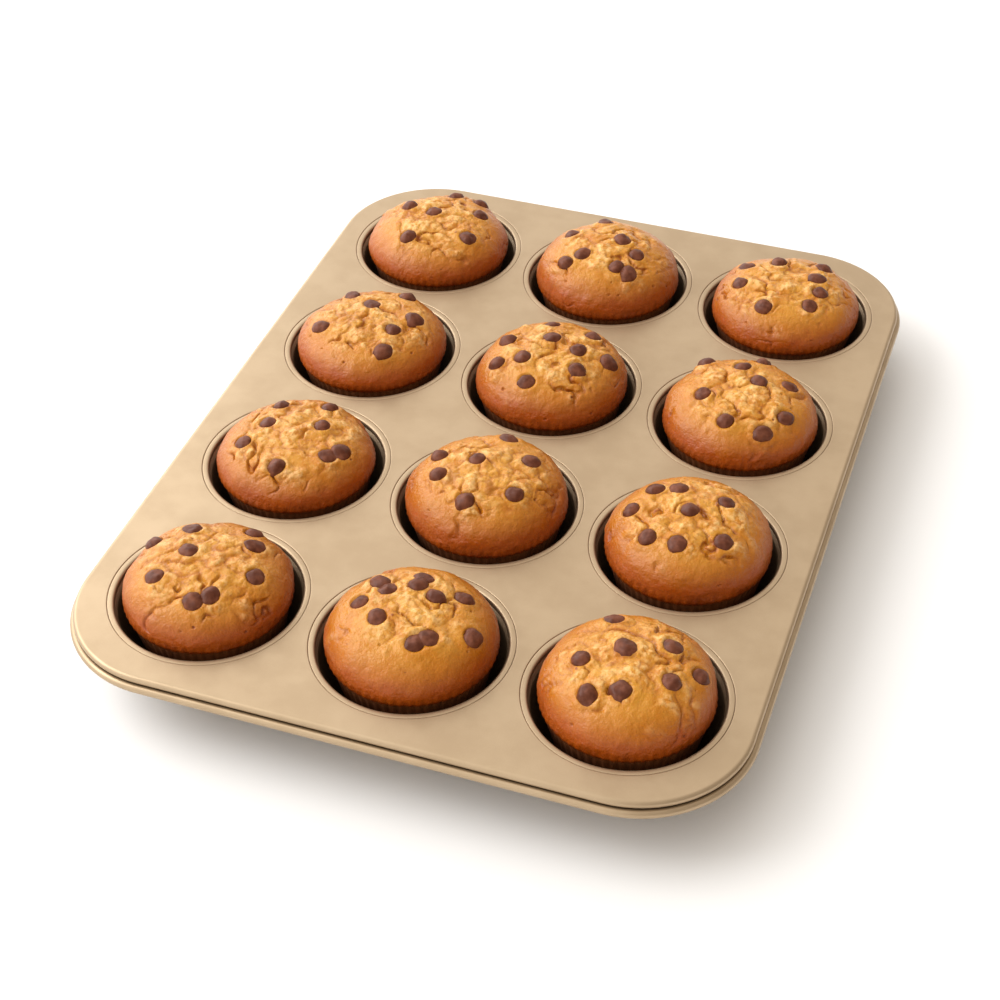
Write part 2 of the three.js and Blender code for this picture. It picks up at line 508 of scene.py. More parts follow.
# Brown greaseproof paper, with paler fibres and uneven stains.
def greaseproofPaper():
    material, tree, shader = newMaterial("greaseproofPaper", paper["clean"], paper["dull"])
    point = objectPoint(tree)
    fibres = noiseAt(tree, point, paper["fibres"], 4, 0.65)
    stains = noiseAt(tree, point, paper["stains"], 3, 0.5)
    ground = blendColours(tree, ease(tree, stains, *paper["stainEdge"]), paper["stained"], paper["clean"])
    shown = ease(tree, fibres, *paper["fibreEdge"], 0.0, paper["fibreShare"])
    tree.links.new(blendColours(tree, shown, ground, paper["fibre"]), shader.inputs["Base Color"])
    roughness = ease(tree, fibres, *paper["fibreEdge"], paper["glossy"], paper["dull"])
    tree.links.new(roughness, shader.inputs["Roughness"])
    addBump(tree, shader, fibres, paper["bump"], paper["bumpDepth"])
    return material


sheetFinish = coatedSteel("coatedSteel")
# the cups' finish carries painted shade below the lip
cupFinish = coatedSteel("coatedCup", coating["cupShading"])
wireFinish = drawnWire()
crumbFinish = bakedCrumb()
chocolateFinish = chocolate()
paperFinish = greaseproofPaper()
print("materials ready")


# top sheet

topSheet = {
    "edgeRound": 1.6,
    "edgeTurn": -50,
    "edgeLead": 0.5,
    "edgeSteps": 16,
    "creaseInset": 1.5,
    "creaseRound": 0.15,
    "creaseSteps": 8,
    "curlRadius": 1.7,
    "curlInset": 0.1,
    "curlDrop": 5.1,
    "curlTurn": -175,
    "curlSteps": 36,
    # reach and fade of the painted shade round the rim's crease
    "rimShadeReach": 1.4,
    "rimShadeFade": 0.7,
    "flatJoin": 2.8,
    "recessRadius": 38.2,
    "recessRound": 0.4,
    "recessSteps": 7,
    "recessFlat": 1.2,
    "recessLead": 0.3,
    "ledge": -1.3,
    "ledgeBend": 0.15,
    "ledgeLip": 0.6,
    "ledgeHole": 36.6,
    "holeSides": 128,
    "cornerSteps": 28,
    "sideSteps": 30,
    "fieldGrid": 5.0,
    "fieldMargin": 2.0,
    "holeMargin": 1.5,
    "weldGap": 2e-6,
    "fieldGap": 1e-5,
    "sharpAngle": 50,
}
cornerX = tin["halfWidth"] - tin["cornerRadius"]
cornerY = tin["halfLength"] - tin["cornerRadius"]


# Columns round the outline: the centre each is swung about, and its angle.
def outlineColumns():
    corners = [(cornerX, cornerY), (-cornerX, cornerY), (-cornerX, -cornerY), (cornerX, -cornerY)]
    quarterTurn = math.pi / 2
    columns = []
    for quarter, corner in enumerate(corners):
        for step in range(topSheet["cornerSteps"] + 1):
            columns.append((*corner, (quarter + step / topSheet["cornerSteps"]) * quarterTurn))
        nextCorner = corners[(quarter + 1) % 4]
        for step in range(1, topSheet["sideSteps"]):
            centre = between(corner, nextCorner, step / topSheet["sideSteps"])
            columns.append((*centre, (quarter + 1) * quarterTurn))
    return columns


# Joins the points of neighbouring columns, all the way round.
def wrapFaces(columnCount, columnLength):
    faces = []
    for index in range(columnCount):
        after = (index + 1) % columnCount
        for step in range(columnLength - 1):
            a = index * columnLength + step
            b = after * columnLength + step
            faces.append((a, b, b + 1, a + 1))
    return faces


# Sweeps a section line of (radius, height) round closed columns of (centreX, centreY, angle).
def sweep(columns, section):
    points = []
    for x, y, angle in columns:
        points += [(*swung(x, y, radius, angle), height) for radius, height in section]
    return points, wrapFaces(len(columns), len(section))


# Outer face of the rim: over the edge, in to a crease, and out round the wire.
def rimLine():
    corner = tin["cornerRadius"]
    edge = topSheet["edgeRound"]
    curlCentre = (corner - topSheet["curlInset"], -topSheet["curlDrop"])
    curlTop = curlCentre[1] + topSheet["curlRadius"]
    line = [(corner - topSheet["flatJoin"], 0), (corner - edge - topSheet["edgeLead"], 0)]
    line += arc((corner - edge, -edge), edge, 90, topSheet["edgeTurn"], topSheet["edgeSteps"])
    crease = (corner - topSheet["creaseInset"], curlTop, topSheet["creaseRound"])
    bend = rounded([(*line[-1], 0), crease, (curlCentre[0], curlTop, 0)], topSheet["creaseSteps"])
    line += bend[1:-1]
    line += arc(curlCentre, topSheet["curlRadius"], 90, topSheet["curlTurn"], topSheet["curlSteps"])
    return line


# Down from the flat round a mouth to the ledge that a cup's flange rests on.
def recessLine():
    edge = topSheet["recessRadius"]
    bend = topSheet["recessRound"]
    ledge = topSheet["ledge"]
    line = [(edge + bend + topSheet["recessFlat"], 0), (edge + bend + topSheet["recessLead"], 0)]
    line += arc((edge + bend, -bend), bend, 90, 180, topSheet["recessSteps"])
    line += [(edge, ledge + topSheet["ledgeBend"]), (edge - topSheet["ledgeBend"], ledge)]
    line += [(topSheet["ledgeHole"] + topSheet["ledgeLip"], ledge), (topSheet["ledgeHole"], ledge)]
    return line


# Points on a square grid, inside the outline and clear of the mouths.
def fieldPoints(centres, holeRadius):
    grid = topSheet["fieldGrid"]
    reach = tin["cornerRadius"] - topSheet["flatJoin"] - topSheet["fieldMargin"]
    stepsX = math.ceil(tin["halfWidth"] / grid)
    stepsY = math.ceil(tin["halfLength"] / grid)
    points = []
    for stepX in range(-stepsX, stepsX + 1):
        for stepY in range(-stepsY, stepsY + 1):
            x, y = stepX * grid, stepY * grid
            past = math.hypot(max(abs(x) - cornerX, 0), max(abs(y) - cornerY, 0))
            nearest = min(math.dist((x, y), centre) for centre in centres)
            if past < reach and nearest > holeRadius + topSheet["holeMargin"]:
                points.append(Vector((x, y)))
    return points


# Flat triangles between the outline and the mouths.
def flatField(outline, holes, holeRadius):
    points = []
    edges = []
    for loop in [outline] + holes:
        first = len(points)
        points += [Vector(point) for point in loop]
        edges += [(first + index, first + (index + 1) % len(loop)) for index in range(len(loop))]
    centres = [cupCentre(*place) for place in places]
    points += fieldPoints(centres, holeRadius)
    found = delaunay_2d_cdt(points, edges, [], 0, topSheet["fieldGap"])
    faces = []
    for face in found[2]:
        middle = sum((found[0][index] for index in face), Vector((0, 0))) / len(face)
        if min(math.dist(middle, centre) for centre in centres) > holeRadius:
            faces.append(tuple(face))
    return [(point.x, point.y, 0) for point in found[0]], faces


# How much painted shade each point of the rim's section gets: full in the crease, fading round it.
def rimCreaseShading(rim):
    creaseHeight = topSheet["curlRadius"] - topSheet["curlDrop"]
    crease = (tin["cornerRadius"] - topSheet["creaseInset"], creaseHeight)
    shares = [(topSheet["rimShadeReach"] - math.dist(point, crease)) / topSheet["rimShadeFade"] for point in rim]
    return [min(max(share, 0), 1) for share in shares]


def makeTopSheet():
    columns = outlineColumns()
    rim = rimLine()
    recess = recessLine()
    holeRadius = recess[0][0]
    sides = topSheet["holeSides"]
    parts = [sweep(columns, rim)]
    holes = []
    for place in places:
        ring = [(*cupCentre(*place), side / sides * 2 * math.pi) for side in range(sides)]
        parts.append(sweep(ring, recess))
        holes.append([swung(x, y, holeRadius, angle) for x, y, angle in ring])
    outline = [swung(x, y, rim[0][0], angle) for x, y, angle in columns]
    parts.append(flatField(outline, holes, holeRadius))
    points = []
    faces = []
    for partPoints, partFaces in parts:
        first = len(points)
        points += [(x * mm, y * mm, (z + tin["sheetTop"]) * mm) for x, y, z in partPoints]
        faces += [tuple(first + index for index in face) for face in partFaces]
    mesh = bpy.data.meshes.new("pressedSheet")
    mesh.from_pydata(points, [], faces)
    # painted shade in the rim's crease, stored per point for the material
    rimCreaseShade = mesh.attributes.new("rimCreaseShade", "FLOAT", "POINT")
    for index, share in enumerate(rimCreaseShading(rim) * len(columns)):
        rimCreaseShade.data[index].value = share
    weld(mesh, topSheet["weldGap"], recalculate=True)
    piece = newPiece("pressedSheet", mesh, sheetFinish)
    thicken(piece, tin["sheet"], -1).use_quality_normals = True
    makePlain(piece, topSheet["sharpAngle"])
    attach(piece, "tin")
    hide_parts("top_sheet")
    return piece


sheetPiece = makeTopSheet()
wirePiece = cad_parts["rim_wire"]
wirePiece.data.materials.clear()
wirePiece.data.materials.append(wireFinish)
print("top sheet:", len(sheetPiece.data.polygons), "faces")


# cups

cup = {
    "flange": 38.15,
    "flangeMiddle": -0.52,
    "flangeNose": 0.16,
    "noseSteps": 4,
    "neck": 35.9,
    "lipRound": 1.0,
    "neckBottom": -2.2,
    "neckRound": 0.4,
    "bead": 37.0,
    "beadHeight": -3.1,
    "beadRound": 0.5,
    "wallTop": 35.05,
    "wallTopHeight": -4.5,
    "wallTopRound": 0.5,
    "base": 26.43,
    "baseHeight": -30.35,
    "baseRound": 2.2,
    "bendSteps": 6,
    "longestStep": 4.0,
    "sides": 128,
    "sharpAngle": 60,
}


# Both faces of a sheet whose middle follows the line, with a rounded nose at its outer end.
def sheetLoop(line, thickness):
    outer = []
    inner = []
    for index, (radius, height) in enumerate(line):
        before = line[max(index - 1, 0)]
        after = line[min(index + 1, len(line) - 1)]
        along = Vector((after[0] - before[0], after[1] - before[1])).normalized()
        across = Vector((-along.y, along.x)) * thickness / 2
        outer.append((radius + across.x, height + across.y))
        inner.append((radius - across.x, height - across.y))
    nose = cup["flangeNose"]
    high = outer.pop()
    low = inner.pop()
    outer += arc((high[0] - nose, high[1] - nose), nose, 90, 0, cup["noseSteps"])
    inner += arc((low[0] - nose, low[1] + nose), nose, -90, 0, cup["noseSteps"])
    return outer + inner[::-1]


# Turns a line that starts and ends on the axis into a closed solid.
def latheMesh(name, loop, sides, centre):
    points = []
    for side in range(sides):
        angle = side / sides * 2 * math.pi
        for radius, height in loop:
            x, y = swung(*centre, radius, angle)
            points.append((x * mm, y * mm, (height + tin["sheetTop"]) * mm))
    mesh = bpy.data.meshes.new(name)
    mesh.from_pydata(points, [], wrapFaces(sides, len(loop)))
    weld(mesh, recalculate=True)
    return mesh


def cupLine():
    corners = [
        (0, cup["baseHeight"], 0),
        (cup["base"], cup["baseHeight"], cup["baseRound"]),
        (cup["wallTop"], cup["wallTopHeight"], cup["wallTopRound"]),
        (cup["bead"], cup["beadHeight"], cup["beadRound"]),
        (cup["neck"], cup["neckBottom"], cup["neckRound"]),
        (cup["neck"], cup["flangeMiddle"], cup["lipRound"]),
        (cup["flange"], cup["flangeMiddle"], 0),
    ]
    return splitLong(rounded(corners, cup["bendSteps"]), cup["longestStep"])


def makeCup(place):
    name = placeName(*place)
    loop = sheetLoop(cupLine(), tin["sheet"])
    loop = [(max(radius, 0), height) for radius, height in loop]
    mesh = latheMesh(f"drawnCup_{name}", loop, cup["sides"], cupCentre(*place))
    mesh.shade_smooth()
    mesh.set_sharp_from_angle(angle=math.radians(cup["sharpAngle"]))
    piece = newPiece(f"drawnCup_{name}", mesh, cupFinish)
    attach(piece, "tin")
    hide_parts(f"cup_{name}")


for place in places:
    makeCup(place)
print("cups made")


# paper cases

paperCase = {
    "Pleats": 60,
    "Top Radius": 31.0,
    "Base Radius": 24.2,
    "Top Height": -1.8,
    "Base Height": -29.75,
    "Pleat Depth": 0.45,
    "pointsPerPleat": 6,
    "rows": 17,
    "baseShare": 0.25,
    "pleatGrowth": (0.12, 0.45),
    "pleatPower": 0.7,
    "leastDepth": 0.4,
    "unevenness": 7.0,
    "seedStep": (31.0, 17.0, 5.0),
    "thickness": 0.15,
    "sharpAngle": 70,
}


# How far each point of the wall is pleated in or out, and how deep the pleats are there.
def pleatWave(tree, given, turn, along, climb):
    wave = calc(tree, "SINE", multiply(tree, turn, given["Pleats"]))
    steep = calc(tree, "POWER", calc(tree, "ABSOLUTE", wave), paperCase["pleatPower"])
    steep = multiply(tree, calc(tree, "SIGN", wave), steep)
    ring = pointAt(tree, calc(tree, "COSINE", turn), calc(tree, "SINE", turn), climb)
    seedShift = scaled(tree, paperCase["seedStep"], given["Seed"])
    uneven = noiseAt(tree, vectorCalc(tree, "ADD", ring, seedShift), paperCase["unevenness"], 2)
    growth = ease(tree, along, *paperCase["pleatGrowth"])
    growth = multiply(tree, growth, given["Pleat Depth"])
    halfDepth = multiply(tree, multiply(tree, growth, add(tree, uneven, paperCase["leastDepth"])), 0.5)
    return steep, halfDepth


# A grid wrapped into a cup: columns run round it, rows run out over the base and up the wall.
def pleatedCaseTree():
    tree, given = newTree("pleatedCase", {
        "Centre": "Vector",
        "Pleats": "Int",
        "Top Radius": "Float",
        "Base Radius": "Float",
        "Top Height": "Float",
        "Base Height": "Float",
        "Pleat Depth": "Float",
        "Seed": "Float",
        "Material": "Material",
    })
    columns = add(tree, multiply(tree, given["Pleats"], paperCase["pointsPerPleat"]), 1)
    grid = addNode(tree, "GeometryNodeMeshGrid", {
        "Size X": 1.0, "Size Y": 1.0, "Vertices X": columns, "Vertices Y": paperCase["rows"],
    })
    place = partsOf(tree, herePoint(tree))
    turn = multiply(tree, add(tree, place[0], 0.5), 2 * math.pi)
    along = add(tree, place[1], 0.5)
    baseShare = paperCase["baseShare"]
    outward = spread(tree, along, 0.0, baseShare, 0.0, given["Base Radius"])
    climb = spread(tree, along, baseShare, 1.0)
    flare = multiply(tree, climb, subtract(tree, given["Top Radius"], given["Base Radius"]))
    steep, halfDepth = pleatWave(tree, given, turn, along, climb)
    radius = add(tree, add(tree, outward, flare), multiply(tree, steep, halfDepth))
    pleated = subtract(tree, radius, halfDepth)
    rise = multiply(tree, climb, subtract(tree, given["Top Height"], given["Base Height"]))
    x = multiply(tree, pleated, calc(tree, "COSINE", turn))
    y = multiply(tree, pleated, calc(tree, "SINE", turn))
    point = pointAt(tree, x, y, add(tree, given["Base Height"], rise))
    metres = scaled(tree, vectorCalc(tree, "ADD", point, given["Centre"]), mm)
    shaped = moveTo(tree, grid.outputs["Mesh"], metres)
    closed = addNode(tree, "GeometryNodeMergeByDistance", {"Geometry": shaped, "Distance": 1e-6})
    endTree(tree, closed.outputs[0], given["Material"])
    return tree


caseTree = pleatedCaseTree()


def makeCase(number, place):
    name = placeName(*place)
    piece = newPiece(f"pleatedCase_{name}", bpy.data.meshes.new(f"pleatedCase_{name}"))
    values = dict(paperCase)
    values["Centre"] = (*cupCentre(*place), tin["sheetTop"])
    values["Seed"] = float(number + 1)
    values["Material"] = paperFinish
    runTree(piece, caseTree, values)
    makePlain(piece)
    weld(piece.data)
    thicken(piece, paperCase["thickness"], 0)
    makePlain(piece, paperCase["sharpAngle"])
    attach(piece, f"muffin_{name}")
    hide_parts(f"case_{name}")
    return piece


for number, place in enumerate(places):
    casePiece = makeCase(number, place)
print("paper cases:", len(casePiece.data.polygons), "faces each")


# muffins

muffin = {
    "Crown Radius": 32.2,
    "Lumps": 2.6,
    "Crumbs": 5.4,
    "Wrinkles": 0.8,
    "Crack Depth": 1.5,
    "Pit Depth": 0.7,
    "Pleats": 60.0,
    "Pleat Depth": 0.15,
    "fullness": 2.35,
    "crownShare": 0.68,
    "baseDepth": -29.2,
    "heightLoss": 1.1,
    "widestChip": 0.985,
    "subdivisions": 7,
    "firstSeed": 2.0,
    "seedStep": 1.37,
}
# the part below the crown: shares of the way down the ball, of the radius and of the depth
baseOutline = [
    (0, 1.0, 0.0),
    (0.08, 0.985, 0.045),
    (0.16, 0.935, 0.085),
    (0.66, 0.735, 0.965),
    (0.72, 0.70, 1.0),
    (1, 0.0, 1.0),
]
domeHeights = [
    [19, 20, 20],
    [16.5, 20, 20.5],
    [17, 19.5, 18],
    [17.5, 20.5, 17.5],
]
# chips seen from above: mm right of and behind the cup's centre
chipPlaces = [
    [
        [(-12, 15), (-7, 2), (-14, -13), (5, -20), (10, -16), (21, -1), (9, 23), (14, 14), (-24, 6)],
        [
            (-15, 9), (-11, 6), (-1, 11), (0, 16), (7, 7), (16, 12),
            (-19, -2), (-9, -9), (8, -16), (12, -12), (25, -4),
        ],
        [(-11, 20), (-2, 4), (13, 11), (-16, -5), (-9, -19), (2, -15), (17, -5), (25, 4)],
    ],
    [
        [(-18, -10), (-13, 3), (-13, 16), (9, 7), (18, -8), (22, -3), (1, -20), (6, 22)],
        [(-21, 4), (-17, -8), (-5, 3), (15, 10), (-2, -19), (15, -10), (2, 22)],
        [(-16, 9), (-7, 11), (0, -1), (12, 9), (-12, -17), (0, -18), (16, -11), (-22, -4)],
    ],
    [
        [(-3, 9), (18, 6), (12, -5), (13, -18), (-15, 16), (8, 22), (-19, -10)],
        [
            (-2, 7), (-10, -9), (-4, -21), (14, -9), (11, 2),
            (13, 16), (24, 3), (-20, 2), (-20, -12), (-6, 19),
        ],
        [(-19, 18), (-4, 16), (3, 25), (5, 7), (18, 11), (-15, -7), (-2, -20), (20, -9), (14, -20)],
    ],
    [
        [(-8, -17), (18, -9), (-3, 3), (17, 11), (0, 24), (-16, 6), (12, 24)],
        [(-9, -11), (-15, -16), (-19, 6), (-7, 20), (6, 3), (14, -4), (14, -16), (8, -15)],
        [(-20, 10), (-7, 14), (-20, -5), (-6, -19), (12, 6), (13, 18), (15, -3), (13, -13)],
    ],
]
# noise scales are per mm; a pair is where a change starts and where it is complete, mostly in mm
dough = {
    "seedStep": (173.0, 51.0, 97.0),
    "wander": 0.06,
    "wanderReach": 1.5,
    "ragged": 0.2,
    "raggedReach": 0.5,
    "crackedEdge": (0.88, 0.5),
    "onCrown": (0.5, 5.0),
    "roughFrom": (-1.0, 3.5),
    "lump": 0.055,
    "drift": 0.09,
    "driftReach": 5.0,
    "bigCrumb": 0.1,
    "bigCrumbMiddle": 0.13,
    "smallCrumb": 0.24,
    "smallCrumbShare": 0.4,
    "finest": 0.6,
    "finestShare": 0.08,
    "wrinkle": 0.3,
    "tear": 0.07,
    "tornEdge": (0.46, 0.6),
    "valley": (0.035, 0.0),
    "smallValley": (0.02, 0.0),
    # range of the painted highlight on the crumb crests
    "crestHighlight": (0.06, 0.24),
    # strength of the painted shade in the crumb valleys
    "valleyShade": 0.5,
    "cell": 0.24,
    "cellsWithoutPit": 0.72,
    "pitSize": 0.75,
    "pitEdge": (1.0, 0.5),
    "imprintReach": 9.0,
    "imprintTop": (4.5, 0.5),
    "imprintBottom": (-3.5, -1.0),
    "pressed": (5.0, 1.0),
    # strength of the painted shade in the pleat furrows
    "furrowShade": 0.5,
    "collarHeight": 0.5,
    "collarOutside": (7.5, 4.6),
    "collarInside": (2.8, 4.4),
    "nestDepth": 0.8,
    "nest": (4.2, 2.4),
    "nearChips": (3.6, 5.2),
    "roughNearChips": 0.15,
}


def domeHeight(place):
    return domeHeights[place[0]][place[1]] - muffin["heightLoss"]


def domePoint(x, y, height):
    share = min(math.hypot(x, y) / muffin["Crown Radius"], muffin["widestChip"])
    return height * (1 - share ** muffin["fullness"]) ** (1 / muffin["fullness"])


def curveThrough(tree, value, line):
    node = addNode(tree, "ShaderNodeFloatCurve", {"Factor": 1.0, "Value": value})
    points = node.mapping.curves[0].points
    while len(points) < len(line):
        points.new(0.5, 0.5)
    for point, (x, y) in zip(points, line):
        point.location = (x, y)
        point.handle_type = "VECTOR"
    node.mapping.update()
    return node.outputs[0]


def pick(tree, isSecond, first, second):
    return addNode(tree, "ShaderNodeMix", {0: isSecond, 2: first, 3: second}).outputs[0]


# A ball pulled into a smooth muffin: a full dome on a tapered base.
def smoothMuffin(tree, given):
    inputs = {"Radius": 1.0, "Subdivisions": muffin["subdivisions"]}
    ball = addNode(tree, "GeometryNodeMeshIcoSphere", inputs)
    direction = herePoint(tree)
    up = partsOf(tree, direction)[2]
    swing = calc(tree, "ARCCOSINE", larger(tree, smaller(tree, up, 1.0), -1.0))
    share = divide(tree, swing, math.pi)
    crownShare = muffin["crownShare"]
    tilt = multiply(tree, smaller(tree, divide(tree, share, crownShare), 1.0), math.pi / 2)
    power = 2 / muffin["fullness"]
    crownOut = calc(tree, "POWER", larger(tree, calc(tree, "SINE", tilt), 0.0), power)
    crownUp = calc(tree, "POWER", larger(tree, calc(tree, "COSINE", tilt), 0.0), power)
    below = spread(tree, share, crownShare, 1.0)
    baseOut = curveThrough(tree, below, [(down, out) for down, out, depth in baseOutline])
    baseDown = curveThrough(tree, below, [(down, depth) for down, out, depth in baseOutline])
    isBelow = calc(tree, "GREATER_THAN", share, crownShare)
    crownOut = multiply(tree, crownOut, given["Crown Radius"])
    crownUp = multiply(tree, crownUp, given["Dome Height"])
    baseOut = multiply(tree, baseOut, given["Crown Radius"])
    baseDown = multiply(tree, baseDown, muffin["baseDepth"])
    radius = pick(tree, isBelow, crownOut, baseOut)
    height = pick(tree, isBelow, crownUp, baseDown)
    outward = vectorCalc(tree, "NORMALIZE", levelled(tree, direction))
    point = vectorCalc(tree, "ADD", scaled(tree, outward, radius), pointAt(tree, 0.0, 0.0, height))
    return moveTo(tree, ball.outputs["Mesh"], point)


# Folded noise: rounded crumbs with sharp valleys between them.
def billow(tree, vector, scale):
    return calc(tree, "ABSOLUTE", swayAt(tree, vector, scale, 1, 0.4))


# Where the top has cracked open: an uneven patch in the middle of the crown.
def crackedPatch(tree, given, here, seeded, ragged, onCrown):
    reach = divide(tree, vectorCalc(tree, "LENGTH", levelled(tree, here)), given["Crown Radius"])
    wander = multiply(tree, swayAt(tree, seeded, dough["wander"], 1), dough["wanderReach"])
    wander = add(tree, wander, multiply(tree, ragged, dough["raggedReach"]))
    patch = ease(tree, add(tree, reach, wander), *dough["crackedEdge"])
    return multiply(tree, patch, onCrown)


def drifted(tree, seeded):
    noise = addNode(tree, "ShaderNodeTexNoise", {"Vector": seeded, "Scale": dough["drift"], "Detail": 1.0})
    drift = vectorCalc(tree, "SUBTRACT", noise.outputs["Color"], (0.5, 0.5, 0.5))
    return vectorCalc(tree, "ADD", seeded, scaled(tree, drift, dough["driftReach"]))


# Small round holes, in some of the cells only and of each cell's own size.
def pits(tree, seeded, onCrown):
    cells = addNode(tree, "ShaderNodeTexVoronoi", {"Vector": seeded, "Scale": dough["cell"]})
    lot = partsOf(tree, cells.outputs["Color"])[0]
    size = larger(tree, subtract(tree, lot, dough["cellsWithoutPit"]), 0.01)
    size = multiply(tree, size, dough["pitSize"])
    pit = ease(tree, divide(tree, cells.outputs["Distance"], size), *dough["pitEdge"])
    return multiply(tree, pit, onCrown)


# The case's pleats, pressed into the crust just above it.
def pleatImprint(tree, given, here, ragged):
    x, y, z = partsOf(tree, here)
    ripple = calc(tree, "SINE", multiply(tree, calc(tree, "ARCTAN2", y, x), given["Pleats"]))
    fade = add(tree, z, multiply(tree, ragged, dough["imprintReach"]))
    ripple = multiply(tree, ripple, ease(tree, fade, *dough["imprintTop"]))
    return multiply(tree, ripple, ease(tree, z, *dough["imprintBottom"]))


# Distance in mm to the nearest chip.
def gapToChips(tree, given, here):
    chipPoints = addNode(
        tree, "GeometryNodeObjectInfo", {"Object": given["Chips"]}, transform_space="ORIGINAL"
    )
    inputs = {
        "Geometry": chipPoints.outputs["Geometry"],
        "Sample Position": scaled(tree, vectorCalc(tree, "ADD", here, given["Centre"]), mm),
    }
    near = addNode(tree, "GeometryNodeProximity", inputs, target_element="POINTS")
    return divide(tree, near.outputs["Distance"], mm)


# Dough swells in a collar round each chip and dips under it.
def chipSeat(tree, gap):
    collar = ease(tree, gap, *dough["collarOutside"])
    collar = multiply(tree, collar, ease(tree, gap, *dough["collarInside"]))
    nest = ease(tree, gap, *dough["nest"])
    swell = multiply(tree, collar, dough["collarHeight"])
    return subtract(tree, swell, multiply(tree, nest, dough["nestDepth"]))


def storeValues(tree, geometry, values):
    for name, value in values.items():
        inputs = {"Geometry": geometry, "Name": name, "Value": value}
        node = addNode(tree, "GeometryNodeStoreNamedAttribute", inputs, data_type="FLOAT", domain="POINT")
        geometry = node.outputs[0]
    return geometry


# The smooth muffin, lumpy, cracked and pitted on top, with the values its material reads, among them the
# painted highlight on crests and the painted shade in hollows.
def bakedCrownTree():
    tree, given = newTree("bakedCrown", {
        "Centre": "Vector",
        "Crown Radius": "Float",
        "Dome Height": "Float",
        "Chips": "Object",
        "Lumps": "Float",
        "Crumbs": "Float",
        "Wrinkles": "Float",
        "Crack Depth": "Float",
        "Pit Depth": "Float",
        "Pleats": "Float",
        "Pleat Depth": "Float",
        "Seed": "Float",
        "Material": "Material",
    })
    smooth = smoothMuffin(tree, given)
    here = herePoint(tree)
    height = partsOf(tree, here)[2]
    seeded = vectorCalc(tree, "ADD", here, scaled(tree, dough["seedStep"], given["Seed"]))
    ragged = swayAt(tree, seeded, dough["ragged"], 2)
    onCrown = ease(tree, height, *dough["onCrown"])
    cracked = crackedPatch(tree, given, here, seeded, ragged, onCrown)

    # crumbs, and the cracks in the valleys between them
    drift = drifted(tree, seeded)
    bigCrumb = billow(tree, drift, dough["bigCrumb"])
    smallCrumb = billow(tree, drift, dough["smallCrumb"])
    crumbs = subtract(tree, bigCrumb, dough["bigCrumbMiddle"])
    crumbs = add(tree, crumbs, multiply(tree, smallCrumb, dough["smallCrumbShare"]))
    finest = multiply(tree, swayAt(tree, drift, dough["finest"], 2), dough["finestShare"])
    rough = multiply(tree, multiply(tree, add(tree, crumbs, finest), given["Crumbs"]), cracked)
    wrinkles = multiply(tree, swayAt(tree, seeded, dough["wrinkle"], 3, 0.55), given["Wrinkles"])
    rough = add(tree, rough, wrinkles)
    valley = multiply(tree, ease(tree, bigCrumb, *dough["valley"]), cracked)
    smallValley = multiply(tree, ease(tree, smallCrumb, *dough["smallValley"]), cracked)
    torn = ease(tree, noiseAt(tree, seeded, dough["tear"], 1), *dough["tornEdge"])
    crack = multiply(tree, valley, torn)
    pit = pits(tree, seeded, onCrown)
    sunk = multiply(tree, crack, given["Crack Depth"])
    sunk = add(tree, sunk, multiply(tree, pit, given["Pit Depth"]))

    # everything that moves the surface, in mm along its normal
    lumps = multiply(tree, swayAt(tree, seeded, dough["lump"], 1), given["Lumps"])
    gap = gapToChips(tree, given, here)
    calm = ease(tree, gap, *dough["nearChips"], dough["roughNearChips"], 1.0)
    relief = multiply(tree, subtract(tree, rough, sunk), calm)
    total = add(tree, add(tree, lumps, relief), chipSeat(tree, gap))
    imprint = pleatImprint(tree, given, here, ragged)
    pressing = multiply(tree, given["Pleat Depth"], ease(tree, height, *dough["pressed"]))
    pressed = multiply(tree, subtract(tree, imprint, 1.0), pressing)
    push = add(tree, multiply(tree, total, ease(tree, height, *dough["roughFrom"])), pressed)
    normal = addNode(tree, "GeometryNodeInputNormal").outputs[0]
    shaped = moveBy(tree, smooth, scaled(tree, normal, push))

    # painted highlight on the crumb crests, and painted shade in cracks, pits, valleys and pleat furrows,
    # stored for the material
    crestHighlight = add(tree, bigCrumb, multiply(tree, smallCrumb, 0.5))
    valleys = multiply(tree, larger(tree, smallValley, valley), dough["valleyShade"])
    furrow = larger(tree, multiply(tree, imprint, -1.0), 0.0)
    furrow = multiply(tree, furrow, dough["furrowShade"])
    shaped = storeValues(tree, shaped, {
        "browning": subtract(tree, 1.0, divide(tree, height, given["Dome Height"])),
        "cracked": multiply(tree, cracked, ease(tree, crestHighlight, *dough["crestHighlight"])),
        "hollow": larger(tree, larger(tree, larger(tree, crack, pit), valleys), furrow),
    })
    placed = scaled(tree, vectorCalc(tree, "ADD", herePoint(tree), given["Centre"]), mm)
    endTree(tree, moveTo(tree, shaped, placed), given["Material"])
    return tree


chip = {
    "Chip Radius": 4.5,
    "Chip Height": 4.3,
    "Sink": 1.3,
    "subdivisions": 4,
    "domePower": 0.8,
    "underside": 1.4,
    "wobble": 0.28,
    "smallest": (0.84, 0.82, 0.75),
    "largest": (1.12, 1.02, 1.05),
    "dents": 240.0,
    "dentDepth": 2.0,
    "castFrom": 0.03,
    "castReach": 0.08,
    "firstSeed": 11,
}


def randomVector(tree, low, high, seed):
    inputs = {"Min": low, "Max": high, "Seed": seed}
    return addNode(tree, "FunctionNodeRandomValue", inputs, data_type="FLOAT_VECTOR").outputs[0]


